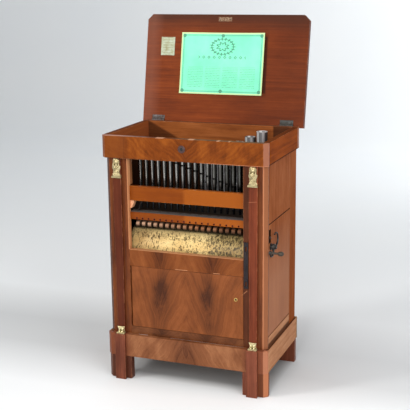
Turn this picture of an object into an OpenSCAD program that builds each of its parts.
// Parlour barrel organ in a veneered cabinet with an open lid.
// Millimetres. X runs to the right, Y to the back and Z up from the floor.
// The modules draw the case about its own middle line (x = 0) and the front face of its stiles (y = 0).
// The last lines move it so that the origin lies on the floor under the middle of the whole outline.

/* [Case] */
// Width of the carcass over its sides
body_w = 570; // [556:1:620]
// Depth of the carcass from stile face to back face
body_d = 340; // [334:1:380]
// Height of the top rim above the floor
rim_z = 860; // [852:1:900]
// Width of the slanted strip on the front corners
corner_cant = 14; // [8:1:16]
// Width of a front stile
stile_w = 81; // [80:0.5:88]
// Thickness of the stiles and front rails
stile_t = 20; // [19:0.5:22]
// Thickness of the side boards
side_t = 18; // [15:0.5:18.5]
// Thickness of the back panel
back_t = 14; // [10:0.5:18]
// Width of a back stile
back_stile_w = 76; // [60:1:84]
// Thickness of the floor board
floor_t = 18; // [14:0.5:22]
// Height of the side panels' lower edge over the plinth
side_base_h = 40; // [30:1:50]
// Height of the joint between the right side's two panels over the hand hole
side_joint_over = 17.5; // [10:0.5:40]
// Bevel along the joints of the right side
panel_bevel = 2.5; // [1:0.25:4]

/* [Frieze and plinth] */
// Height of the frieze
frieze_h = 75; // [68:1:80]
// Thickness of the frieze boards
frieze_t = 20; // [18:0.5:24]
// How far the front frieze board stands on the stiles
frieze_seat = 2; // [1:0.5:5]
// How far the frieze stands out at the sides
frieze_side = 6; // [4:0.5:8]
// How far the frieze stands out at the back
frieze_back_out = 12; // [8:0.5:14]
// Height of the frieze's keyhole over the frieze's lower edge
frieze_key_up = 42; // [34:1:46]
// Radius of the ring round the frieze's keyhole
frieze_ring_r = 12.5; // [9:0.5:15]
// Height of the plinth boards
plinth_h = 80; // [76:1:90]
// How far the plinth stands out at the sides
plinth_side = 6; // [4:0.5:8]
// How far the plinth stands out at the front
plinth_front_out = 17; // [17:0.5:24]
// How far the plinth stands out at the back
plinth_back_out = 12; // [8:0.5:14]
// Height of the legs below the plinth
leg_h = 85; // [76:1:90]
// Depth of a front leg inside the plinth, from the front of the case
front_leg_d = 36; // [28:1:46]
// How far a front leg stands out under the plinth
front_leg_out = 12; // [8:0.5:16]
// Thickness of a front leg under the plinth
front_leg_t = 26; // [22:1:34]
// Thickness of a back leg
back_leg_t = 20; // [16:1:28]
// Width of a back leg
back_leg_w = 80; // [60:1:100]

/* [Pilasters] */
// Distance of a pilaster's middle from the side of the case
pilaster_in = 45; // [42:0.5:46]
// Width of a pilaster shaft at its foot
shaft_w_low = 27; // [22:0.5:29]
// Width of a pilaster shaft at its top
shaft_w_high = 31; // [28:0.5:34]
// How far a shaft stands out from the stile
shaft_d = 8; // [6:0.5:10]
// Width of the block under a pilaster
block_w = 38; // [34:0.5:42]
// How far the block stands out from the stile
block_d = 26; // [25:0.5:32]
// Height of the bust mount
bust_h = 68; // [60:1:76]
// Width of the bust mount over its base and shoulders
bust_w = 34; // [28:0.5:36]
// Width of the bust's waist
bust_waist = 21; // [16:0.5:24]
// Height of the bust's flared base
bust_base_h = 8; // [5:0.5:12]
// Height of the bust's waist
bust_waist_h = 22; // [16:0.5:26]
// Height of the bust's shoulders
bust_shoulder_h = 38; // [32:0.5:40]
// Radius of the bust's head
bust_head_r = 10.5; // [8:0.25:12]
// How far the bust's drapery stands out from its shaft
bust_body_d = 6.5; // [5:0.5:8]
// How far the bust's head stands out from its shaft
bust_d = 9; // [8:0.5:12]
// Height of the foot mount
foot_h = 25; // [22:1:30]
// Width of the foot mount
foot_w = 30; // [26:0.5:36]
// Width of the foot mount's waist
foot_waist = 24; // [20:0.5:25]
// Height of the foot mount's waist
foot_waist_h = 11; // [8:0.5:16]
// How far the foot mount stands out from its shaft
foot_d = 7; // [4:0.5:8]
// Height of the foot mount's front step
foot_step_h = 9; // [6:0.5:12]
// How far the foot mount's front step stands out from its shaft
foot_step_d = 12; // [9:0.5:14]

/* [Front rails and door] */
// Height of the sill under the door
sill_h = 27; // [22:1:32]
// Height of the door
door_h = 217; // [200:1:222]
// Thickness of the door
door_t = 18; // [15:0.5:19]
// Gap round the door
door_gap = 0.8; // [0.6:0.1:1.5]
// Height of the rail over the door
front_rail_h = 58; // [50:1:60]
// Radius of the door's pivot pins
pivot_r = 3; // [2:0.25:4]
// How far a pivot pin enters its rail
pivot_len = 8; // [5:0.5:12]
// How far a pivot pin enters the door
pivot_hold = 20; // [12:1:30]
// Radius of the ring round the door's keyhole
door_ring_r = 6.5; // [5:0.25:8]
// Distance of the door's keyhole from the edge of the opening
door_key_in = 26; // [20:0.5:40]
// Height of the door's keyhole over the door's lower edge
door_key_up = 137; // [110:1:160]
// Thickness of the keyhole rings
ring_t = 1.6; // [1:0.1:2.5]
// Width of the keyhole rings' band
ring_band = 3; // [1.5:0.25:3.5]
// Radius of the frieze's keyhole
keyhole_r = 3; // [2:0.25:4]
// Width of a lock's case
lock_w = 46; // [36:1:56]
// Height of a lock's case
lock_h = 40; // [30:1:44]
// Thickness of a lock's case
lock_t = 12; // [8:0.5:14]

/* [Latch] */
// Width of the latch bar
latch_w = 15; // [12:0.5:16]
// Thickness of the latch bar
latch_t = 3; // [2:0.25:4]
// Length of the latch bar
latch_len = 157; // [120:1:180]
// How far the latch bar reaches below the rail over the door
latch_drop = 38; // [32:1:60]
// Gap between the latch bar and the pilaster
latch_clear = 3; // [2:0.25:4]
// Width of the latch bar's slots
latch_slot_w = 6; // [5:0.25:8]
// Length of the latch bar's slots
latch_slot_len = 24; // [18:0.5:30]
// Distance of the slots from the bar's ends
latch_slot_in = 7; // [5:0.5:12]
// Radius of the latch pins' heads
latch_head_r = 5; // [4.5:0.25:6]
// Thickness of the latch pins' heads
latch_head_t = 1.6; // [1:0.1:2.5]

/* [Lid] */
// Thickness of the lid
lid_t = 20; // [14:0.5:24]
// How far the lid stands out over the frieze's sides
lid_over = 13; // [9:0.5:16]
// How far the lid stands out over the frieze's front
lid_front_over = 9; // [5:0.5:14]
// How far the lid stands out behind its hinge line
lid_back_over = 7; // [5:0.25:8]
// Slant of the lid's front corners
lid_cant = 19; // [12:0.5:24]
// Opening angle of the lid at rest
lid_open = 101; // [95:1:110]
// Gap between the closed lid and the rim
lid_gap = 1; // [0.8:0.1:2]
// Radius of a hinge knuckle
knuckle_r = 4; // [3.5:0.25:5]
// Radius of a hinge pin
hinge_pin_r = 2; // [1.25:0.25:2.5]
// Length of a hinge
hinge_w = 48; // [36:1:60]
// Distance of a hinge's middle from the side of the case
hinge_in = 42; // [34:1:70]
// Width of a hinge leaf
leaf_w = 14; // [10:0.5:24]
// Thickness of a hinge leaf
leaf_t = 1.5; // [1:0.1:2]
// Width of the lock's keeper plate
keeper_w = 50; // [36:1:60]
// Depth of the lock's keeper plate
keeper_d = 15; // [10:0.5:18]
// Distance of the keeper plate's middle from the middle of the lid
keeper_x = -5; // [-15:1:15]
// Distance of the keeper plate from the frieze's front face
keeper_in = 0.5; // [0:0.25:3]
// Length of the pasted sheet
sheet_w = 316; // [260:1:350]
// Height of the pasted sheet
sheet_h = 219; // [180:1:235]
// Distance of the sheet's middle from the middle of the lid
sheet_x = -9; // [-12:1:30]
// Distance of the sheet's middle from the lid's back edge
sheet_up = 216; // [170:1:225]
// Width of the small label
label_w = 53; // [40:1:60]
// Height of the small label
label_h = 66; // [50:1:80]
// Distance of the label's middle to the left of the lid's middle
label_in = 220; // [215:1:250]
// Distance of the label's middle from the lid's back edge
label_up = 275; // [230:1:310]
// Thickness of the paper
paper_t = 0.6; // [0.3:0.1:0.8]

/* [Barrel] */
// Radius of the pinned barrel
barrel_r = 85; // [80:0.5:86]
// Height of the barrel's axis
barrel_z = 459; // [456:0.5:462]
// Distance of the barrel's axis behind the stile face
barrel_y = 113; // [112:0.5:118]
// Wall of the barrel drum
barrel_wall = 14; // [8:0.5:20]
// Thickness of the barrel's ends
barrel_end_t = 14; // [10:0.5:20]
// How far the barrel reaches past the opening on the left
barrel_past = 14; // [8:1:16]
// How far the barrel stops short of the opening's edge on the right
barrel_short = 9; // [9:0.5:14]
// Radius of the barrel's arbor
arbor_r = 8; // [7:0.25:9]
// Step from the arbor down to its left pin
arbor_step = 1; // [0.5:0.25:2]
// Length of the arbor's left pin
arbor_pin_len = 28; // [22:1:30]
// How far the arbor reaches past the right post
arbor_end = 16; // [16:0.5:18]
// Number of tunes on the barrel
tune_count = 7; // [3:2:7]
// Distance between two tunes
tune_pitch = 2; // [1.6:0.1:2]
// Width of a tune groove
groove_w = 1.2; // [1.1:0.05:1.4]
// Depth of a tune groove
groove_d = 1.6; // [1:0.1:2.5]
// Thickness of the barrel's posts
upright_t = 12; // [10:0.5:12]
// Width of the barrel's posts
upright_w = 56; // [50:1:70]
// How far the left post reaches over the barrel's axis
upright_over = 40; // [30:1:60]
// How far the right post's arm reaches round the crank shaft and the lever's pin
arm_margin = 13; // [11:0.5:14]
// Side of the square bearing in the left post
shift_block_w = 30; // [24:1:36]
// Length of the bearing
shift_block_len = 32; // [28:1:34]
// Gap between the bearing and the barrel's end
shift_block_gap = 6; // [4:0.5:8]

/* [Keys] */
// Number of keys
key_count = 18; // [14:1:18]
// Distance between two keys
key_pitch = 21.4; // [19:0.1:21.6]
// Distance of the middle of the row from the middle of the case
key_mid_x = 2; // [-4:0.5:4]
// Width of a key
key_w = 11; // [8:0.5:13]
// Height of a key at its front
key_h = 14; // [10:0.5:15]
// Height of a key at its tail
key_tail_h = 9; // [7:0.5:12]
// Distance of the keys' heads behind the stile face
key_front_y = 18; // [12:0.5:22]
// Distance of the keys' tails behind the stile face
key_tail_y = 132; // [122:1:150]
// Radius of a key's head
key_nub_r = 8; // [6.5:0.25:9]
// How far a key's head sits below the key's middle
key_nub_drop = 3; // [0:0.5:5]
// Radius of a key's steel tip
key_tip_r = 1.2; // [0.8:0.1:2]
// Distance of the tips in front of the barrel's axis
key_tip_back = 7; // [0:0.5:12]
// Gap between a key's steel tip and the barrel
tip_gap = 2.2; // [2:0.1:3]
// Radius of the wire that the keys turn on
key_wire_r = 1.6; // [1.2:0.1:2.2]
// Distance of the wire below the windchest
key_wire_drop = 14; // [12:0.5:15]
// Gap between a key and the sides of its slot
key_slot_play = 0.8; // [0.4:0.1:1.5]
// Gap between a key and the top of its slot
key_slot_over = 2.5; // [1.5:0.25:3.5]
// Distance of the slotted bar behind the stile face
comb_y0 = 56; // [48:0.5:60]
// Depth of the slotted bar
comb_d = 20; // [14:0.5:24]
// Height of the slotted bar
comb_h = 24; // [20:0.5:26]
// How far the slotted bar reaches past the last keys
comb_end = 14; // [8:0.5:16]

/* [Gears and crank] */
// Tooth module of the drive
gear_m = 1.68; // [1.6:0.01:1.72]
// Teeth of the barrel wheel
wheel_teeth = 96; // [92:1:98]
// Teeth of the crank pinion
pinion_teeth = 12; // [11:1:13]
// Height of a tooth outside the pitch line
gear_tip = 1.5; // [1.2:0.05:1.55]
// Depth of a tooth inside the pitch line
gear_root = 2.1; // [2:0.05:2.4]
// Direction from the barrel's axis to the crank, above the line to the front
crank_dir = 35; // [33:0.5:37]
// Width of the barrel wheel
wheel_w = 10; // [8:0.5:10]
// Radius of the barrel wheel's hub
wheel_hub_r = 18; // [14:0.5:24]
// Sideways room beside the barrel wheel and its pinion
wheel_clear = 1; // [1:0.25:1.5]
// Radius of the crank shaft
crank_r = 7; // [6:0.25:7.5]
// Wall of the crank's bush
bush_wall = 3; // [2:0.25:4]
// Width of the bush's flange round the bush
bush_flange_w = 1.5; // [1:0.25:3]
// Thickness of the bush's flange
bush_flange_t = 3; // [2:0.25:4]
// Radius of the pumping cam's round part
cam_base_r = 9; // [8:0.25:10]
// Gap between the pumping cam's nose and the front stile
cam_clear = 1.7; // [1:0.1:3]
// Radius of the pumping cam's nose
cam_tip_r = 6; // [4:0.5:8]
// Width of the pumping cam
cam_w = 8; // [6:0.5:8]
// Thickness of the crank's bar
crank_bar = 6; // [5:0.5:8]
// Width of the crank's bar along its shaft
crank_bar_w = 8; // [6:0.5:10]
// Gap between the crank and its bush
crank_off = 4; // [2:0.5:8]
// Radius of the crank's hub
crank_hub_r = 11; // [10:0.5:14]
// Radius of the crank's upper scroll
scroll_high_r = 23; // [21:0.5:25]
// Distance of the upper scroll's middle behind the shaft
scroll_high_back = 22; // [18:0.5:23]
// Distance of the upper scroll's middle above the shaft
scroll_high_up = 20; // [17:0.5:22]
// Radius of the crank's lower scroll
scroll_low_r = 17; // [12:0.5:18]
// Distance of the lower scroll's edge in front of the shaft
scroll_low_out = 4; // [3:0.5:8]
// Distance of the lower scroll's middle below the shaft
scroll_low_drop = 10; // [6:0.5:12]
// Radius of the grip's pin
grip_pin_r = 2.5; // [2:0.25:3]
// Radius of the grip's sleeve
grip_r = 4.5; // [4:0.25:6]
// Radius of the eye that the grip's pin stands on
grip_eye_r = 6; // [5:0.25:8]
// Length of the grip's sleeve
grip_len = 34; // [24:1:50]
// Radius of the grip's knob
knob_r = 7; // [6:0.5:10]

/* [Tune lever] */
// Distance of the lever's pin behind the crank shaft
lever_back = 31; // [28:0.5:34]
// Height of the lever's pin over the crank shaft
lever_over = 29; // [27:0.5:31]
// Thickness of the lever
lever_t = 5; // [4:0.25:5]
// Width of the lever's arms
lever_arm = 12; // [9:0.5:14]
// Radius of the lever's boss
lever_boss_r = 9; // [7:0.25:11]
// Radius of the lever's pin
lever_pin_r = 3; // [2:0.25:4]
// Angle by which the lever is lifted at rest
lever_lift = 9.8; // [8:0.1:10]
// Distance of the lever's rod in front of the crank shaft
lever_rod_out = 11.5; // [8:0.5:12]
// Height of the lever's rod over the crank shaft
lever_rod_over = 25.5; // [25:0.5:28]
// Radius of the lever's rod
lever_rod_r = 3; // [2:0.25:3]
// Radius of the lever's knob
lever_knob_r = 5; // [4:0.25:6]
// Gap between the lever's knob and the crank
lever_knob_clear = 1; // [0.5:0.25:2]
// Thickness of the knife
knife_t = 0.8; // [0.5:0.05:0.9]
// Height of the knife
knife_h = 8; // [5:0.5:10]
// Length of the knife in front of the arbor
knife_len = 5; // [3:0.5:8]
// Distance of the knife from the right post
knife_out = 8; // [8:0.25:9]
// Width of the hand hole in the right side
window_w = 24; // [20:0.5:30]
// Height of the hand hole
window_h = 46; // [40:1:50]
// Distance of the hand hole over the crank's bush
window_over = 2; // [1:0.25:6]

/* [Pipes] */
// Height of the windchest's underside over the barrel
chest_over = 28; // [26:0.5:34]
// Height of the windchest
chest_h = 28; // [24:1:30]
// Distance between the windchest and the back panel
chest_back = 26; // [16:1:40]
// Height of the rail over the keys
key_rail_h = 25; // [20:0.5:32]
// Distance of the rail over the keys behind the stile face
key_rail_y0 = 14; // [8:0.5:18]
// Depth of the rail over the keys
key_rail_d = 30; // [24:0.5:36]
// Radius of the holes in the rail over the keys
key_hole_r = 3.2; // [1.5:0.1:3.5]
// Depth of those holes
key_hole_d = 8; // [4:0.5:14]
// Height of those holes over the rail's lower edge
key_hole_up = 4.4; // [3.6:0.1:10]
// Distance of the pipe rail behind the stile face
pipe_rail_y0 = 12; // [8:0.5:18]
// Thickness of the pipe rail
pipe_rail_t = 18; // [12:0.5:24]
// Height of the pipe rail's lower edge over the windchest
pipe_rail_up = 37; // [32:1:45]
// Height of the pipe rail
pipe_rail_h = 50; // [40:1:60]
// Number of pipes in the front row
pipe_count = 17; // [13:1:17]
// Distance between two front pipes
pipe_pitch = 22.4; // [20:0.1:23]
// Distance of the middle of the front row from the middle of the case
pipe_mid_x = -11; // [-14:0.5:0]
// Distance of the front row behind the stile face
pipe_y = 76; // [66:0.5:90]
// Radius of a front pipe
pipe_r = 8.5; // [7:0.25:9.5]
// Radius of a front pipe's toe
pipe_toe_r = 3.5; // [2:0.25:5]
// Wall of the pipe metal
pipe_wall = 1; // [0.8:0.1:1.5]
// Distance of the front pipes' tops below the rim
pipe_below = 25; // [16:1:34]
// Distance of the left front pipe's mouth below its top
mouth_left = 29; // [25:1:55]
// Distance of the right front pipe's mouth below its top
mouth_right = 151; // [130:1:161]
// Width of a front pipe's mouth
mouth_w = 9; // [6:0.5:12]
// Height of a front pipe's mouth
mouth_h = 5; // [3:0.5:8]
// Height of the rack board over the pipe rail's lower edge
rack_up = 18; // [8:1:30]
// Thickness of the rack board
rack_t = 8; // [6:0.5:12]
// Width of the rack board round the pipes
rack_margin = 17; // [10:0.5:24]
// Number of bass pipes
bass_count = 6; // [3:1:6]
// Radius of a bass pipe
bass_r = 19; // [16:0.5:22]
// Gap between two bass pipes
bass_gap = 4; // [2:0.5:5]
// Distance of the first bass pipe's middle from the side of the case
bass_in = 99; // [70:1:110]
// Distance of the bass pipes from the windchest's back edge
bass_back = 24; // [10:1:40]
// Distance of the first bass pipe's top below the rim
bass_below = 8; // [4:1:20]
// Step from one bass pipe down to the next
bass_step = 20; // [6:1:22]
// Height of a bass pipe's foot
bass_foot_h = 60; // [40:1:80]
// Radius of a bass pipe's toe
bass_toe_r = 7; // [5:0.5:10]
// Width of a bass pipe's mouth
bass_mouth_w = 21; // [14:0.5:28]
// Height of a bass pipe's mouth
bass_mouth_h = 10; // [6:0.5:16]

/* [Bellows] */
// Height of the bellows bed over the floor board
bed_up = 79; // [70:1:90]
// Thickness of the bellows bed
bed_t = 14; // [10:0.5:18]
// How far the bed reaches past the opening on each side
bed_past = 11; // [4:0.5:12]
// Distance of the bed's front edge behind the stile face
bed_y0 = 60; // [58:0.5:64]
// Distance between the bed and the back panel
bed_back = 16; // [10:1:24]
// Side of the bed's posts
bed_post = 20; // [14:0.5:26]
// Distance of the front posts behind the bed's front edge
bed_post_in = 6; // [4:0.5:14]
// Width of the wind trunk
trunk_w = 80; // [50:1:110]
// Depth of the wind trunk
trunk_d = 34; // [24:1:44]
// Height of the reservoir's top board over the bed
reservoir_lift = 34; // [28:1:44]
// Thickness of the reservoir's top board
reservoir_t = 12; // [8:0.5:16]
// Margin of the bed round the reservoir's top board
reservoir_in = 5; // [3:0.5:12]
// Gap between the reservoir and the wind trunk
reservoir_back = 8; // [4:0.5:16]
// Margin of the reservoir's top board round its leather
leather_in = 5; // [3:0.5:12]
// Thickness of the feeder board
feeder_t = 12; // [9:0.5:13]
// Angle at which the feeder hangs
feeder_hang = 8; // [6:0.25:9]
// How far the feeder's front edge stands before the bed
feeder_over = 11.5; // [11:0.25:14]
// Sideways room beside the feeder's eye
feeder_clear = 1; // [0.5:0.25:2]
// Radius of the feeder's hinge pin
feeder_pin_r = 3; // [2:0.25:4]
// Radius of the feeder's eye
feeder_eye_r = 7; // [6.5:0.25:8]
// Thickness of the feeder's hinge lugs
feeder_lug_t = 6; // [4:0.5:10]
// Distance of the feeder's hinge in front of the bed's back edge
feeder_axis_in = 10; // [9:0.5:16]
// Distance of the feeder's hinge below the bed
feeder_axis_drop = 12; // [10:0.5:16]
// Margin of the feeder board round its leather at the sides
feeder_leather_side = 8; // [4:0.5:16]
// Margin of the feeder board round its leather at the front
feeder_leather_front = 29; // [20:1:44]
// Distance of the leather in front of the feeder's hinge
feeder_leather_back = 15; // [12:0.5:24]
// Side of the pump rod
rod_w = 10; // [8:0.5:10]
// Thickness of the pump rod's pad
pad_t = 6; // [4:0.5:10]
// How far the pad reaches in front of the crank shaft
pad_over = 16; // [12:0.5:17]
// Width of the pad beside the rod
pad_side = 1; // [0.5:0.25:1.25]
// Gap between the cam's nose and the pad
pad_gap = 0.5; // [0.4:0.1:2]

/* [Hidden] */
$fn = 48;

// Clearances: a running fit, a gap between pieces that move, and how far a cutter passes a face
play = 0.05;
gap = 0.3;
past = 1;

// Tooth thickness at the root, pitch line and tip, each half of it in tooth steps
tooth_foot = 0.27;
tooth_half = 0.225;
tooth_tip = 0.1;

// Angles between which the crank's scrolls run, and the steps of the cutter that ends them
scroll_high_arc = [atan2(-scroll_high_up, -scroll_high_back), 120];
scroll_low_arc = [180, 385];
scroll_steps = 8;

// Case lines
side_x = body_w / 2;
inner_x = side_x - side_t;
open_x = side_x - stile_w;
case_top = rim_z - frieze_h;
plinth_top = leg_h + plinth_h;
floor_top = plinth_top + floor_t;
back_in_y = body_d - back_t;
back_stile_y = body_d - back_stile_w;
frieze_x = side_x + frieze_side;
frieze_in_y = frieze_seat;
frieze_y0 = frieze_in_y - frieze_t;
frieze_y1 = body_d + frieze_back_out;
frieze_in_x = frieze_x - frieze_t;
frieze_key_z = case_top + frieze_key_up;
plinth_x = side_x + plinth_side;
pilaster_x = side_x - pilaster_in;
side_base_z = plinth_top + side_base_h;

// Front lines
sill_top = plinth_top + sill_h;
door_z0 = sill_top + door_gap;
door_z1 = door_z0 + door_h;
front_rail_z = door_z1 + door_gap;
front_rail_top = front_rail_z + front_rail_h;
door_x = open_x - door_gap;
door_axis_x = -door_x + door_t / 2;
door_axis_y = door_t / 2;
door_key_x = open_x - door_key_in;
door_key_z = door_z0 + door_key_up;

// Latch lines
latch_mid_x = pilaster_x - shaft_w_high / 2 - latch_clear - latch_w / 2;
latch_z0 = front_rail_z - latch_drop;
latch_z1 = latch_z0 + latch_len;
latch_pin_r = latch_slot_w / 2 - gap;
latch_slots = [latch_z0 + latch_slot_in, latch_z1 - latch_slot_in - latch_slot_len];

// Lid lines, drawn closed
hinge_y = frieze_y1 + knuckle_r + gap;
hinge_z = rim_z + lid_gap / 2;
lid_z = rim_z + lid_gap;
lid_x = frieze_x + lid_over;
lid_y0 = frieze_y0 - lid_front_over;
lid_y1 = hinge_y + lid_back_over;
hinge_x = side_x - hinge_in;
sheet_y = lid_y1 - sheet_up;
label_x = -label_in;
label_y = lid_y1 - label_up;
keeper_y0 = frieze_y0 + keeper_in;

// Barrel lines
tune_steps = (tune_count - 1) / 2;
shift_travel = tune_steps * tune_pitch;
barrel_x0 = -(open_x + barrel_past);
barrel_x1 = open_x - barrel_short;
pinion_x0 = barrel_x1 + shift_travel + wheel_clear;
wheel_x = pinion_x0 + shift_travel;
pinion_x1 = wheel_x + wheel_w + shift_travel + wheel_clear;
upright_x = pinion_x1 + wheel_clear;
upright_x1 = upright_x + upright_t;
shift_block_x1 = barrel_x0 - shift_block_gap;
shift_block_x0 = shift_block_x1 - shift_block_len;
left_upright_x = (shift_block_x0 + shift_block_x1 - upright_t) / 2;
arbor_x0 = barrel_x0 - arbor_pin_len;
arbor_x1 = upright_x1 + arbor_end;
arbor_pin_r = arbor_r - arbor_step;
knife_x = upright_x1 + knife_out;

// Gear lines
crank_gap = gear_m * (wheel_teeth + pinion_teeth) / 2;
crank_y = barrel_y - crank_gap * cos(crank_dir);
crank_z = barrel_z + crank_gap * sin(crank_dir);
mesh_turn = 180 - crank_dir;
cam_nose_r = crank_y - stile_t - cam_clear;
bush_r = crank_r + bush_wall;
bush_flange_r = bush_r + bush_flange_w;
rod_x = knife_x + lever_t / 2 + pad_side + gap;
cam_x0 = rod_x + (rod_w - cam_w) / 2;
crank_bar_x = side_x + bush_flange_t + crank_off;
crank_bar_x1 = crank_bar_x + crank_bar_w;
scroll_high_y = crank_y + scroll_high_back;
scroll_high_z = crank_z + scroll_high_up;
scroll_low_y = crank_y - scroll_low_r - scroll_low_out;
scroll_low_z = crank_z - scroll_low_drop;
grip_y = scroll_low_y - scroll_low_r;
grip_z = scroll_low_z;
grip_x0 = crank_bar_x1 + gap;
grip_x1 = grip_x0 + grip_len;

// Tune lever lines, drawn with the knife in its groove
lever_y = crank_y + lever_back;
lever_z = crank_z + lever_over;
lever_end_y = crank_y - lever_rod_out;
lever_end_z = crank_z + lever_rod_over;
lever_knob_x = crank_bar_x - lever_knob_clear - lever_knob_r;
knife_tip_y = barrel_y - arbor_r + groove_d - gap;
knife_root_y = barrel_y - arbor_r - knife_len;
window_y1 = stile_t + window_w;
window_z0 = crank_z + bush_flange_r + window_over;
window_z1 = window_z0 + window_h;
side_joint_z = window_z1 + side_joint_over;

// Wind lines
chest_bottom = barrel_z + barrel_r + chest_over;
chest_z = chest_bottom + chest_h;
chest_y0 = key_rail_y0 + key_rail_d;
chest_y1 = back_in_y - chest_back;
pipe_rail_y1 = pipe_rail_y0 + pipe_rail_t;
pipe_rail_z = chest_z + pipe_rail_up;
pipe_x0 = pipe_mid_x - pipe_pitch * (pipe_count - 1) / 2;
pipe_top = rim_z - pipe_below;
rack_z = pipe_rail_z + rack_up;
bass_y = chest_y1 - bass_r - bass_back;
bass_pitch = 2 * bass_r + bass_gap;
bass_x = side_x - bass_in;
bass_top = rim_z - bass_below;

// Key lines
key_x0 = key_mid_x - key_pitch * (key_count - 1) / 2;
key_pivot_y = comb_y0 + comb_d / 2;
key_pivot_z = chest_bottom - key_wire_drop;
key_slot_top = key_pivot_z + key_h / 2 + key_slot_over;
key_tip_y = barrel_y - key_tip_back;
key_tip_z = barrel_z + sqrt(barrel_r * barrel_r - key_tip_back * key_tip_back) + tip_gap;

// Bellows lines
bed_x = open_x + bed_past;
bed_y1 = back_in_y - bed_back;
bed_z = floor_top + bed_up;
bed_top = bed_z + bed_t;
trunk_y0 = chest_y1 - trunk_d;
reservoir_x = bed_x - reservoir_in;
reservoir_y0 = bed_y0 + reservoir_in;
reservoir_y1 = trunk_y0 - reservoir_back;
feeder_x = bed_x - bed_post - feeder_lug_t - feeder_clear;
feeder_axis_y = bed_y1 - feeder_axis_in;
feeder_axis_z = bed_z - feeder_axis_drop;
feeder_len = (feeder_axis_y - bed_y0 + feeder_over) / cos(feeder_hang);
feeder_leather_x = feeder_x - feeder_leather_side;
feeder_leather_y0 = bed_y0 - feeder_over + feeder_leather_front;
feeder_leather_y1 = feeder_axis_y - feeder_leather_back;
rod_y1 = feeder_axis_y - (feeder_len - rod_w) * cos(feeder_hang);
pad_z = crank_z - cam_nose_r - pad_gap;

// Reach of the whole outline, which sets the origin
lid_back_reach = hinge_y + (hinge_y - lid_y0) * sin(lid_open - 90)
    + (lid_gap / 2 + lid_t) * cos(lid_open - 90);
frame_x = (grip_x1 + knob_r - lid_x) / 2;
frame_y = (lid_back_reach - block_d) / 2;

// Block between two corners
module block(low, high) {
    translate(low) cube(high - low);
}

// The same shape on both sides of the case
module both_sides() {
    children();
    mirror([1, 0, 0]) children();
}

// A flat outline in Y and Z, pushed along X
module along_x(x0, x1) {
    translate([x0, 0, 0]) rotate([90, 0, 90]) linear_extrude(x1 - x0) children();
}

// A flat outline in X and Z, pushed along Y
module along_y(y0, y1) {
    translate([0, y1, 0]) rotate([90, 0, 0]) linear_extrude(y1 - y0) children();
}

// A round bar along X
module bar_x(x0, x1, y, z, r) {
    translate([x0, y, z]) rotate([0, 90, 0]) cylinder(r = r, h = x1 - x0);
}

// A round bar along Y
module bar_y(y0, y1, x, z, r) {
    translate([x, y0, z]) rotate([-90, 0, 0]) cylinder(r = r, h = y1 - y0);
}

// Places a piece that is drawn about the case's middle line and stile face
module placed() {
    translate([-frame_x, -frame_y, 0]) children();
}

// Turns a piece that is drawn on the closed lid to where the open lid has it
module on_lid() {
    translate([0, hinge_y, hinge_z])
        rotate([-lid_open, 0, 0])
            translate([0, -hinge_y, -hinge_z]) children();
}

// Case

// Front plinth board in three lengths, between and beside the two blocks
module plinth_front() color("sienna") {
    block_in = pilaster_x - block_w / 2;
    block_out = pilaster_x + block_w / 2;
    block([-block_in, -plinth_front_out, leg_h], [block_in, 0, plinth_top]);
    both_sides() translate([0, 0, leg_h]) linear_extrude(plinth_h) polygon([
        [block_out, 0],
        [block_out, -plinth_front_out],
        [plinth_x - corner_cant, -plinth_front_out],
        [plinth_x, -plinth_front_out + corner_cant],
        [plinth_x, 0]]);
}

module plinth_sides() color("sienna")
    both_sides() block([side_x, 0, leg_h], [plinth_x, body_d, plinth_top]);

module plinth_back() color("saddlebrown")
    block([-plinth_x, body_d, leg_h], [plinth_x, body_d + plinth_back_out, plinth_top]);

// Front legs, which stand under the plinth, level with its ends, and run up inside it to the floor board
module front_legs() color("saddlebrown") both_sides() {
    leg_back = front_leg_t - front_leg_out;
    linear_extrude(leg_h) polygon([
        [open_x, -front_leg_out],
        [plinth_x - corner_cant, -front_leg_out],
        [plinth_x, corner_cant - front_leg_out],
        [plinth_x, leg_back],
        [open_x, leg_back]]);
    translate([0, 0, leg_h]) linear_extrude(plinth_h) polygon([
        [open_x, 0],
        [side_x - corner_cant, 0],
        [side_x, corner_cant],
        [side_x, stile_t],
        [inner_x, stile_t],
        [inner_x, front_leg_d],
        [open_x, front_leg_d]]);
}

// Blocks that stand in front of the legs and run back to the stiles above them
module leg_blocks() color("brown") both_sides() {
    block_in = pilaster_x - block_w / 2;
    block_out = pilaster_x + block_w / 2;
    block([block_in, -block_d, 0], [block_out, -front_leg_out, plinth_top]);
    block([block_in, -front_leg_out, leg_h], [block_out, 0, plinth_top]);
}

module back_legs() color("saddlebrown") both_sides() {
    block([side_x - back_leg_w, body_d - back_leg_t, 0], [plinth_x, body_d, leg_h]);
    block([side_x - back_leg_w, body_d - back_leg_t, leg_h], [inner_x, body_d, plinth_top]);
}

module floor_board() color("peru")
    block([-inner_x, stile_t, plinth_top], [inner_x, back_in_y, floor_top]);

module front_stiles() color("saddlebrown")
    both_sides() translate([0, 0, plinth_top]) linear_extrude(case_top - plinth_top) polygon([
        [open_x, 0],
        [side_x - corner_cant, 0],
        [side_x, corner_cant],
        [side_x, stile_t],
        [open_x, stile_t]]);

module back_stiles() color("sienna")
    both_sides() block([inner_x, back_stile_y, leg_h], [side_x, body_d, case_top]);

module side_base_rails() color("sienna")
    both_sides() along_y(stile_t, back_stile_y) polygon([
        [inner_x, leg_h],
        [side_x, leg_h],
        [side_x, side_base_z - panel_bevel],
        [side_x - panel_bevel, side_base_z],
        [inner_x, side_base_z]]);

module side_left() color("sienna")
    block([-side_x, stile_t, side_base_z], [-inner_x, back_stile_y, case_top]);

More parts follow.
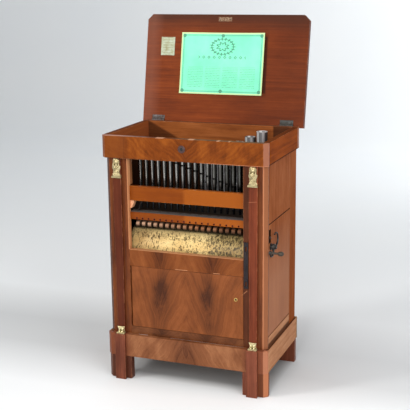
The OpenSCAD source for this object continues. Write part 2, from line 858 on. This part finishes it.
// Upper panel of the right side, bevelled where it meets the lower one
module side_right_upper() color("sienna")
    along_y(stile_t, back_stile_y) polygon([
        [inner_x, side_joint_z],
        [side_x - panel_bevel, side_joint_z],
        [side_x, side_joint_z + panel_bevel],
        [side_x, case_top],
        [inner_x, case_top]]);

// Lower panel of the right side, with the crank's hole and the hand hole for the tune lever
module side_right_lower() color("sienna") difference() {
    along_y(stile_t, back_stile_y) polygon([
        [inner_x, side_base_z],
        [side_x - panel_bevel, side_base_z],
        [side_x, side_base_z + panel_bevel],
        [side_x, side_joint_z - panel_bevel],
        [side_x - panel_bevel, side_joint_z],
        [inner_x, side_joint_z]]);
    block([inner_x - past, stile_t - past, window_z0], [side_x + past, window_y1, window_z1]);
    bar_x(inner_x - past, side_x + past, crank_y, crank_z, bush_r + play);
}

module back_panel() color("peru")
    block([-inner_x, back_in_y, plinth_top], [inner_x, body_d, case_top]);

// Socket for one of the door's pivot pins
module pivot_socket(z0, z1) {
    translate([door_axis_x, door_axis_y, z0]) cylinder(r = pivot_r + play, h = z1 - z0);
}

module front_rail() color("sienna") difference() {
    block([-open_x, 0, front_rail_z], [open_x, stile_t, front_rail_top]);
    pivot_socket(front_rail_z - past, front_rail_z + pivot_len + gap);
}

module sill_rail() color("sienna") difference() {
    block([-open_x, 0, plinth_top], [open_x, stile_t, sill_top]);
    pivot_socket(sill_top - pivot_len - gap, sill_top + past);
}

module frieze_front() color("chocolate") difference() {
    translate([0, 0, case_top]) linear_extrude(frieze_h) polygon([
        [-frieze_x, frieze_in_y],
        [-frieze_x, frieze_y0 + corner_cant],
        [-frieze_x + corner_cant, frieze_y0],
        [frieze_x - corner_cant, frieze_y0],
        [frieze_x, frieze_y0 + corner_cant],
        [frieze_x, frieze_in_y]]);
    bar_y(frieze_y0 - past, frieze_in_y + past, 0, frieze_key_z, keyhole_r);
}

module frieze_sides() color("chocolate")
    both_sides() block([frieze_in_x, frieze_in_y, case_top], [frieze_x, frieze_y1 - frieze_t, rim_z]);

module frieze_back() color("chocolate")
    block([-frieze_x, frieze_y1 - frieze_t, case_top], [frieze_x, frieze_y1, rim_z]);

// Pilasters and their bronze mounts

module pilaster_shafts() color("maroon")
    both_sides() along_y(-shaft_d, 0) polygon([
        [pilaster_x - shaft_w_low / 2, plinth_top],
        [pilaster_x + shaft_w_low / 2, plinth_top],
        [pilaster_x + shaft_w_high / 2, case_top],
        [pilaster_x - shaft_w_high / 2, case_top]]);

// Draped bust on a flared base, with a round head
module pilaster_busts() color("gold")
    both_sides() translate([pilaster_x, -shaft_d, case_top - bust_h]) {
        half = bust_w / 2;
        waist = bust_waist / 2;
        head_z = bust_h - bust_head_r;
        along_y(-bust_body_d, 0) polygon([
            [-half, 0],
            [half, 0],
            [waist, bust_base_h],
            [waist, bust_waist_h],
            [half, bust_shoulder_h],
            [0, head_z],
            [-half, bust_shoulder_h],
            [-waist, bust_waist_h],
            [-waist, bust_base_h]]);
        bar_y(-bust_d, 0, 0, head_z, bust_head_r);
    }

// Foot mount with a waist and a front step
module pilaster_feet() color("gold")
    both_sides() translate([pilaster_x, -shaft_d, plinth_top]) {
        half = foot_w / 2;
        waist = foot_waist / 2;
        along_y(-foot_d, 0) polygon([
            [-half, 0],
            [half, 0],
            [waist, foot_waist_h],
            [half, foot_h],
            [-half, foot_h],
            [-waist, foot_waist_h]]);
        block([-waist, -foot_step_d, 0], [waist, 0, foot_step_h]);
    }

// Front rails, keys and pipes

module pipe_rail() color("darkorange")
    block([-open_x, pipe_rail_y0, pipe_rail_z], [open_x, pipe_rail_y1, pipe_rail_z + pipe_rail_h]);

function key_x(i) = key_x0 + i * key_pitch;

// Rail over the keys, with a blind hole above each key
module key_rail() color("darkorange") difference() {
    block([-open_x, key_rail_y0, chest_bottom], [open_x, chest_y0, chest_bottom + key_rail_h]);
    for (i = [0 : key_count - 1])
        bar_y(key_rail_y0 - past, key_rail_y0 + key_hole_d, key_x(i), chest_bottom + key_hole_up, key_hole_r);
}

// Slotted bar that guides the keys, with the wire that they turn on
module key_comb() color("burlywood") {
    x0 = key_x(0) - key_w / 2 - comb_end;
    x1 = key_x(key_count - 1) + key_w / 2 + comb_end;
    slot_half = key_w / 2 + key_slot_play;
    difference() {
        block([x0, comb_y0, chest_bottom - comb_h], [x1, comb_y0 + comb_d, chest_bottom]);
        for (i = [0 : key_count - 1])
            block([key_x(i) - slot_half, comb_y0 - past, chest_bottom - comb_h - past],
                  [key_x(i) + slot_half, comb_y0 + comb_d + past, key_slot_top]);
    }
    bar_x(x0, x1, key_pivot_y, key_pivot_z, key_wire_r);
}

// One key: a wooden lever with a rounded head and a steel tip over the barrel
module key(x) {
    head_y = key_front_y + key_nub_r;
    difference() {
        along_x(x - key_w / 2, x + key_w / 2) {
            polygon([
                [head_y, key_pivot_z - key_h / 2],
                [key_tail_y, key_pivot_z - key_tail_h / 2],
                [key_tail_y, key_pivot_z + key_tail_h / 2],
                [head_y, key_pivot_z + key_h / 2]]);
            translate([head_y, key_pivot_z - key_nub_drop]) circle(r = key_nub_r);
        }
        bar_x(x - key_w / 2 - past, x + key_w / 2 + past, key_pivot_y, key_pivot_z, key_wire_r + play);
    }
    translate([x, key_tip_y, key_tip_z]) cylinder(r = key_tip_r, h = key_pivot_z - key_tip_z);
}

module keys_odd() color("rosybrown")
    for (i = [0 : 2 : key_count - 1]) key(key_x(i));

module keys_even() color("tan")
    for (i = [1 : 2 : key_count - 1]) key(key_x(i));

module windchest() color("burlywood")
    block([-inner_x, chest_y0, chest_bottom], [inner_x, chest_y1, chest_z]);

function pipe_x(i) = pipe_x0 + i * pipe_pitch;
function mouth_down(i) = mouth_left + (mouth_right - mouth_left) * i / (pipe_count - 1);
function mouth_up(i) = pipe_top - chest_z - mouth_down(i);
function foot_r_at(i, z) = pipe_toe_r + (pipe_r - pipe_toe_r) * min(1, (z - chest_z) / mouth_up(i));

// Board that holds the pipes upright, with a hole for each foot
module rack_board() color("burlywood") difference() {
    block([pipe_x(0) - rack_margin, pipe_rail_y1, rack_z],
          [pipe_x(pipe_count - 1) + rack_margin, pipe_y + rack_margin, rack_z + rack_t]);
    for (i = [0 : pipe_count - 1])
        translate([pipe_x(i), pipe_y, rack_z - past])
            cylinder(r = foot_r_at(i, rack_z + rack_t) + gap, h = rack_t + 2 * past);
}

// Metal flue pipe: a long conical foot, a mouth and a hollow body
module flue_pipe(foot_h, h, toe_r, r, cut_w, cut_h) difference() {
    union() {
        cylinder(r1 = toe_r, r2 = r, h = foot_h);
        translate([0, 0, foot_h]) cylinder(r = r, h = h - foot_h);
    }
    translate([0, 0, foot_h + pipe_wall]) cylinder(r = r - pipe_wall, h = h - foot_h);
    block([-cut_w / 2, -r - past, foot_h + pipe_wall], [cut_w / 2, 0, foot_h + pipe_wall + cut_h]);
}

module front_pipes() color("slategray")
    for (i = [0 : pipe_count - 1])
        translate([pipe_x(i), pipe_y, chest_z])
            flue_pipe(mouth_up(i), pipe_top - chest_z, pipe_toe_r, pipe_r, mouth_w, mouth_h);

module bass_pipes() color("slategray")
    for (i = [0 : bass_count - 1])
        translate([bass_x - i * bass_pitch, bass_y, chest_z])
            flue_pipe(bass_foot_h, bass_top - i * bass_step - chest_z, bass_toe_r, bass_r,
                      bass_mouth_w, bass_mouth_h);

module wind_trunk() color("burlywood")
    block([-trunk_w / 2, trunk_y0, bed_top], [trunk_w / 2, chest_y1, chest_bottom]);

// Bellows

// Fixed bed of the bellows on four posts, with the feeder's hinge lugs and pin under it
module bellows_bed() color("peru") {
    lug_x = feeder_x + feeder_clear;
    block([-bed_x, bed_y0, bed_z], [bed_x, bed_y1, bed_top]);
    both_sides() {
        for (y = [bed_y0 + bed_post_in, bed_y1 - bed_post])
            block([bed_x - bed_post, y, floor_top], [bed_x, y + bed_post, bed_z]);
        block([lug_x, feeder_axis_y - feeder_eye_r, feeder_axis_z - feeder_eye_r],
              [lug_x + feeder_lug_t, feeder_axis_y + feeder_eye_r, bed_z]);
    }
    bar_x(-lug_x - feeder_lug_t, lug_x + feeder_lug_t, feeder_axis_y, feeder_axis_z, feeder_pin_r);
}

module reservoir_leather() color("wheat")
    block([-reservoir_x + leather_in, reservoir_y0 + leather_in, bed_top],
          [reservoir_x - leather_in, reservoir_y1 - leather_in, bed_top + reservoir_lift - gap]);

module reservoir_top() color("peru")
    block([-reservoir_x, reservoir_y0, bed_top + reservoir_lift],
          [reservoir_x, reservoir_y1, bed_top + reservoir_lift + reservoir_t]);

// Feeder board hanging from its hinge, with a lug at the front right for the pump rod
module feeder_board() color("peru")
    translate([0, feeder_axis_y, feeder_axis_z]) rotate([feeder_hang, 0, 0]) difference() {
        half = feeder_t / 2;
        union() {
            block([-feeder_x, -feeder_len, -half], [feeder_x, 0, half]);
            block([feeder_x, -feeder_len, -half], [rod_x + rod_w, -feeder_len + rod_w, half]);
            bar_x(-feeder_x, feeder_x, 0, 0, feeder_eye_r);
        }
        bar_x(-feeder_x - past, feeder_x + past, 0, 0, feeder_pin_r + play);
    }

// Height of the feeder's upper face at a depth, with the gap that its leather leaves
function feeder_top(y) = feeder_axis_z - (feeder_axis_y - y) * tan(feeder_hang)
    + feeder_t / 2 / cos(feeder_hang) + gap;

module feeder_leather() color("wheat")
    along_x(-feeder_leather_x, feeder_leather_x) polygon([
        [feeder_leather_y0, bed_z],
        [feeder_leather_y0, feeder_top(feeder_leather_y0)],
        [feeder_leather_y1, feeder_top(feeder_leather_y1)],
        [feeder_leather_y1, bed_z]]);

// Rod from the feeder's lug up to a pad under the cam
module pump_rod() color("peru") difference() {
    union() {
        block([rod_x, rod_y1 - rod_w, feeder_axis_z - (feeder_len - rod_w) * sin(feeder_hang)],
              [rod_x + rod_w, rod_y1, pad_z]);
        block([rod_x - pad_side, crank_y - pad_over, pad_z - pad_t],
              [rod_x + rod_w + pad_side, rod_y1, pad_z]);
    }
    feeder_board();
}

// Barrel and drive

// Two posts that carry the barrel; the right one also carries the crank shaft and the tune lever's pin
module barrel_uprights() color("burlywood") {
    y0 = barrel_y - upright_w / 2;
    y1 = barrel_y + upright_w / 2;
    hole = shift_block_w / 2 + gap;
    difference() {
        block([left_upright_x, y0, floor_top], [left_upright_x + upright_t, y1, barrel_z + upright_over]);
        block([left_upright_x - past, barrel_y - hole, barrel_z - hole],
              [left_upright_x + upright_t + past, barrel_y + hole, barrel_z + hole]);
    }
    difference() {
        along_x(upright_x, upright_x1) polygon([
            [y0, floor_top],
            [y1, floor_top],
            [y1, lever_z + arm_margin],
            [crank_y - arm_margin, lever_z + arm_margin],
            [crank_y - arm_margin, crank_z - arm_margin],
            [y0, crank_z - arm_margin]]);
        bar_x(upright_x - past, upright_x1 + past, barrel_y, barrel_z, arbor_r + play);
        bar_x(upright_x - past, upright_x1 + past, crank_y, crank_z, crank_r + play);
    }
    bar_x(upright_x1, knife_x + lever_t, lever_y, lever_z, lever_pin_r);
}

// Bearing that slides in the left post and takes the barrel with it from tune to tune
module shift_block() color("tan") difference() {
    half = shift_block_w / 2;
    block([shift_block_x0, barrel_y - half, barrel_z - half],
          [shift_block_x1, barrel_y + half, barrel_z + half]);
    bar_x(shift_block_x0 - past, shift_block_x1 + past, barrel_y, barrel_z, arbor_pin_r + play);
}

module barrel_drum() color("khaki") difference() {
    bar_x(barrel_x0, barrel_x1, barrel_y, barrel_z, barrel_r);
    bar_x(barrel_x0 + barrel_end_t, barrel_x1 - barrel_end_t, barrel_y, barrel_z, barrel_r - barrel_wall);
    bar_x(barrel_x0 - past, barrel_x1 + past, barrel_y, barrel_z, arbor_r + play);
}

// Arbor with a row of turned grooves, one for each tune
module barrel_arbor() color("dimgray") difference() {
    union() {
        bar_x(arbor_x0, barrel_x0 + past, barrel_y, barrel_z, arbor_pin_r);
        bar_x(barrel_x0, arbor_x1, barrel_y, barrel_z, arbor_r);
    }
    for (i = [-tune_steps : tune_steps]) difference() {
        x0 = knife_x + i * tune_pitch - groove_w / 2;
        bar_x(x0, x0 + groove_w, barrel_y, barrel_z, arbor_r + past);
        bar_x(x0 - past, x0 + groove_w + past, barrel_y, barrel_z, arbor_r - groove_d);
    }
}

// Outline of a spur gear with straight flanks: each tooth has a root, a pitch line and a tip
function on_circle(r, a) = [r * cos(a), r * sin(a)];
function gear_outline(teeth) = [
    for (i = [0 : teeth - 1]) let (step = 360 / teeth, a = i * step, r = gear_m * teeth / 2) each [
        on_circle(r - gear_root, a - step * tooth_foot),
        on_circle(r, a - step * tooth_half),
        on_circle(r + gear_tip, a - step * tooth_tip),
        on_circle(r + gear_tip, a + step * tooth_tip),
        on_circle(r, a + step * tooth_half),
        on_circle(r - gear_root, a + step * tooth_foot)]];

// A gear about an axis along X, turned so that its first tooth points at an angle
module gear_x(x0, x1, y, z, teeth, turn) {
    translate([0, y, z]) along_x(x0, x1) rotate(turn) polygon(gear_outline(teeth));
}

// Wheel on the barrel's arbor, with a hub that reaches to the barrel's end
module barrel_wheel() color("darkgoldenrod") difference() {
    union() {
        gear_x(wheel_x, wheel_x + wheel_w, barrel_y, barrel_z, wheel_teeth, mesh_turn);
        bar_x(barrel_x1, wheel_x + wheel_w, barrel_y, barrel_z, wheel_hub_r);
    }
    bar_x(barrel_x1 - past, wheel_x + wheel_w + past, barrel_y, barrel_z, arbor_r + play);
}

module crank_bush() color("dimgray") difference() {
    union() {
        bar_x(inner_x, side_x + bush_flange_t, crank_y, crank_z, bush_r);
        bar_x(side_x, side_x + bush_flange_t, crank_y, crank_z, bush_flange_r);
    }
    bar_x(inner_x - past, side_x + bush_flange_t + past, crank_y, crank_z, crank_r + play);
}

// Crank shaft with the pinion that drives the barrel and the cam that works the feeder
module crank_shaft() color("dimgray") {
    nose = cam_nose_r - cam_tip_r;
    bar_x(pinion_x0, crank_bar_x1, crank_y, crank_z, crank_r);
    gear_x(pinion_x0, pinion_x1, crank_y, crank_z, pinion_teeth, mesh_turn + 180 + 180 / pinion_teeth);
    translate([0, crank_y, crank_z]) along_x(cam_x0, cam_x0 + cam_w) {
        circle(r = cam_base_r);
        translate([0, nose]) circle(r = cam_tip_r);
        polygon([[-cam_base_r, 0], [cam_base_r, 0], [cam_tip_r, nose], [-cam_tip_r, nose]]);
    }
}

// Part of a ring between two angles
module scroll(r, arc) {
    reach = 2 * (r + crank_bar);
    step = (arc[1] - arc[0]) / scroll_steps;
    difference() {
        intersection() {
            circle(r = r + crank_bar / 2);
            polygon(concat([[0, 0]], [for (i = [0 : scroll_steps]) on_circle(reach, arc[0] + i * step)]));
        }
        circle(r = r - crank_bar / 2);
    }
}

// Wrought crank of two scrolls, with the pin that the grip turns on
module crank_arm() color("dimgray") {
    difference() {
        along_x(crank_bar_x, crank_bar_x1) {
            translate([crank_y, crank_z]) circle(r = crank_hub_r);
            translate([scroll_high_y, scroll_high_z]) scroll(scroll_high_r, scroll_high_arc);
            translate([scroll_low_y, scroll_low_z]) scroll(scroll_low_r, scroll_low_arc);
            translate([grip_y, grip_z]) circle(r = grip_eye_r);
        }
        bar_x(crank_bar_x - past, crank_bar_x1 + past, crank_y, crank_z, crank_r + play);
    }
    bar_x(crank_bar_x1, grip_x1, grip_y, grip_z, grip_pin_r);
}

module crank_grip() color("black") difference() {
    union() {
        bar_x(grip_x0, grip_x1, grip_y, grip_z, grip_r);
        translate([grip_x1, grip_y, grip_z]) sphere(r = knob_r);
    }
    bar_x(grip_x0 - past, grip_x1 + gap, grip_y, grip_z, grip_pin_r + play);
}

// Lever whose knife holds the barrel at one tune, drawn lifted clear of the grooves
module tune_lever() color("dimgray")
    translate([0, lever_y, lever_z]) rotate([-lever_lift, 0, 0]) translate([0, -lever_y, -lever_z]) {
        half = lever_arm / 2;
        knife_low = barrel_z - knife_h / 2;
        difference() {
            along_x(knife_x - lever_t / 2, knife_x + lever_t / 2) {
                translate([lever_y, lever_z]) circle(r = lever_boss_r);
                polygon([
                    [lever_y - half, lever_z],
                    [lever_y + half, lever_z],
                    [knife_root_y, knife_low + lever_arm],
                    [knife_root_y, knife_low],
                    [knife_root_y - lever_arm, knife_low]]);
                polygon([
                    [lever_y, lever_z - half],
                    [lever_y, lever_z + half],
                    [lever_end_y, lever_end_z + half],
                    [lever_end_y, lever_end_z - half]]);
                translate([lever_end_y, lever_end_z]) circle(r = half);
            }
            bar_x(knife_x - lever_t, knife_x + lever_t, lever_y, lever_z, lever_pin_r + play);
        }
        block([knife_x - knife_t / 2, knife_root_y - past, knife_low],
              [knife_x + knife_t / 2, knife_tip_y, knife_low + knife_h]);
        bar_x(knife_x, lever_knob_x, lever_end_y, lever_end_z, lever_rod_r);
        translate([lever_knob_x, lever_end_y, lever_end_z]) sphere(r = lever_knob_r);
    }

// Lid

// Room for a hinge's knuckles and its leaf in the lid's underside
module hinge_pocket() {
    half = hinge_w / 2 + gap;
    block([hinge_x - half, frieze_y1 - gap, lid_z - past],
          [hinge_x + half, lid_y1 + past, hinge_z + knuckle_r + gap]);
    block([hinge_x - half, frieze_y1 - leaf_w - gap, lid_z - past],
          [hinge_x + half, frieze_y1, lid_z + leaf_t]);
}

// Flat plate let into the lid over the frieze's lock, from a depth below the lid's face
module keeper_plate(below) {
    block([keeper_x - keeper_w / 2, keeper_y0, lid_z - below],
          [keeper_x + keeper_w / 2, keeper_y0 + keeper_d, lid_z + leaf_t]);
}

module lid_panel() color("sienna") on_lid() difference() {
    translate([0, 0, lid_z]) linear_extrude(lid_t) polygon([
        [-lid_x, lid_y1],
        [-lid_x, lid_y0 + lid_cant],
        [-lid_x + lid_cant, lid_y0],
        [lid_x - lid_cant, lid_y0],
        [lid_x, lid_y0 + lid_cant],
        [lid_x, lid_y1]]);
    both_sides() hinge_pocket();
    keeper_plate(past);
}

// Hinge leaves on the back of the frieze, each with its two end knuckles and its pin
module lid_hinge_leaves() color("silver") both_sides() {
    half = hinge_w / 2;
    sixth = hinge_w / 6;
    for (x = [hinge_x - half, hinge_x + sixth]) {
        block([x, frieze_y1, rim_z - leaf_w], [x + 2 * sixth, frieze_y1 + leaf_t, hinge_z]);
        bar_x(x, x + 2 * sixth, hinge_y, hinge_z, knuckle_r);
    }
    block([hinge_x - sixth, frieze_y1, rim_z - leaf_w],
          [hinge_x + sixth, frieze_y1 + leaf_t, hinge_z - knuckle_r - gap]);
    bar_x(hinge_x - half, hinge_x + half, hinge_y, hinge_z, hinge_pin_r);
}

// Hinge leaves let into the lid, each with the middle knuckle
module lid_hinge_flaps() color("silver") on_lid() both_sides() difference() {
    half = hinge_w / 2;
    knuckle = hinge_w / 6 - gap;
    union() {
        block([hinge_x - half, frieze_y1 - leaf_w, lid_z], [hinge_x + half, frieze_y1 - gap, lid_z + leaf_t]);
        block([hinge_x - knuckle, frieze_y1 - leaf_w, lid_z], [hinge_x + knuckle, hinge_y, lid_z + leaf_t]);
        bar_x(hinge_x - knuckle, hinge_x + knuckle, hinge_y, hinge_z, knuckle_r);
    }
    bar_x(hinge_x - half, hinge_x + half, hinge_y, hinge_z, hinge_pin_r + play);
}

// A sheet pasted flat on the lid's inner face
module paper(x, y, w, h) {
    block([x - w / 2, y - h / 2, lid_z - paper_t], [x + w / 2, y + h / 2, lid_z]);
}

module lid_papers() color("mediumaquamarine") on_lid() {
    paper(sheet_x, sheet_y, sheet_w, sheet_h);
    paper(label_x, label_y, label_w, label_h);
}

module lid_keeper() color("goldenrod") on_lid() keeper_plate(0);

// Ring round a keyhole on a face that looks to the front
module key_ring(x, y, z, r) difference() {
    bar_y(y - ring_t, y, x, z, r);
    bar_y(y - ring_t - past, y + past, x, z, r - ring_band);
}

// Case of a lock behind a board
module lock_case(x, y, z) {
    block([x - lock_w / 2, y, z - lock_h / 2], [x + lock_w / 2, y + lock_t, z + lock_h / 2]);
}

module lid_lock() color("black") {
    key_ring(0, frieze_y0, frieze_key_z, frieze_ring_r);
    lock_case(0, frieze_in_y, frieze_key_z);
}

// Door and latch

// Door with a half-round hinge edge about its pivots
module door_panel() color("sienna") difference() {
    translate([0, 0, door_z0]) linear_extrude(door_h) {
        translate([door_axis_x, door_axis_y]) circle(r = door_t / 2);
        translate([door_axis_x, 0]) square([door_x - door_axis_x, door_t]);
    }
    for (z = [door_z0 - past, door_z1 - pivot_hold])
        translate([door_axis_x, door_axis_y, z]) cylinder(r = pivot_r, h = pivot_hold + past);
}

module door_pivots() color("goldenrod")
    for (z = [sill_top - pivot_len, door_z1 - pivot_hold])
        translate([door_axis_x, door_axis_y, z]) cylinder(r = pivot_r, h = pivot_hold + door_gap + pivot_len);

module door_lock() color("black") {
    key_ring(door_key_x, 0, door_key_z, door_ring_r);
    lock_case(door_x - door_gap - lock_w / 2, door_t, door_key_z);
}

// Slot with round ends in the latch bar
module latch_slot(z) {
    r = latch_slot_w / 2;
    translate([latch_mid_x, z + r]) {
        circle(r = r);
        translate([-r, 0]) square([latch_slot_w, latch_slot_len - latch_slot_w]);
        translate([0, latch_slot_len - latch_slot_w]) circle(r = r);
    }
}

module latch_bar() color("darkslategray") along_y(-latch_t - gap, -gap) difference() {
    translate([latch_mid_x - latch_w / 2, latch_z0]) square([latch_w, latch_len]);
    for (z = latch_slots) latch_slot(z);
}

// Headed pins in the stile, each at the top of its slot
module latch_pins() color("black") for (z = latch_slots) {
    pin_z = z + latch_slot_len - latch_slot_w / 2;
    head_y = -latch_t - 2 * gap;
    bar_y(head_y, 0, latch_mid_x, pin_z, latch_pin_r);
    bar_y(head_y - latch_head_t, head_y, latch_mid_x, pin_z, latch_head_r);
}

placed() plinth_front();
placed() plinth_sides();
placed() plinth_back();
placed() front_legs();
placed() leg_blocks();
placed() back_legs();
placed() floor_board();
placed() front_stiles();
placed() back_stiles();
placed() side_base_rails();
placed() side_left();
placed() side_right_upper();
placed() side_right_lower();
placed() back_panel();
placed() front_rail();
placed() sill_rail();
placed() frieze_front();
placed() frieze_sides();
placed() frieze_back();
placed() pilaster_shafts();
placed() pilaster_busts();
placed() pilaster_feet();
placed() pipe_rail();
placed() key_rail();
placed() key_comb();
placed() keys_odd();
placed() keys_even();
placed() windchest();
placed() rack_board();
placed() front_pipes();
placed() bass_pipes();
placed() wind_trunk();
placed() bellows_bed();
placed() reservoir_leather();
placed() reservoir_top();
placed() feeder_board();
placed() feeder_leather();
placed() pump_rod();
placed() barrel_uprights();
placed() shift_block();
placed() barrel_drum();
placed() barrel_arbor();
placed() barrel_wheel();
placed() crank_bush();
placed() crank_shaft();
placed() crank_arm();
placed() crank_grip();
placed() tune_lever();
placed() lid_panel();
placed() lid_hinge_leaves();
placed() lid_hinge_flaps();
placed() lid_papers();
placed() lid_keeper();
placed() lid_lock();
placed() door_panel();
placed() door_pivots();
placed() door_lock();
placed() latch_bar();
placed() latch_pins();
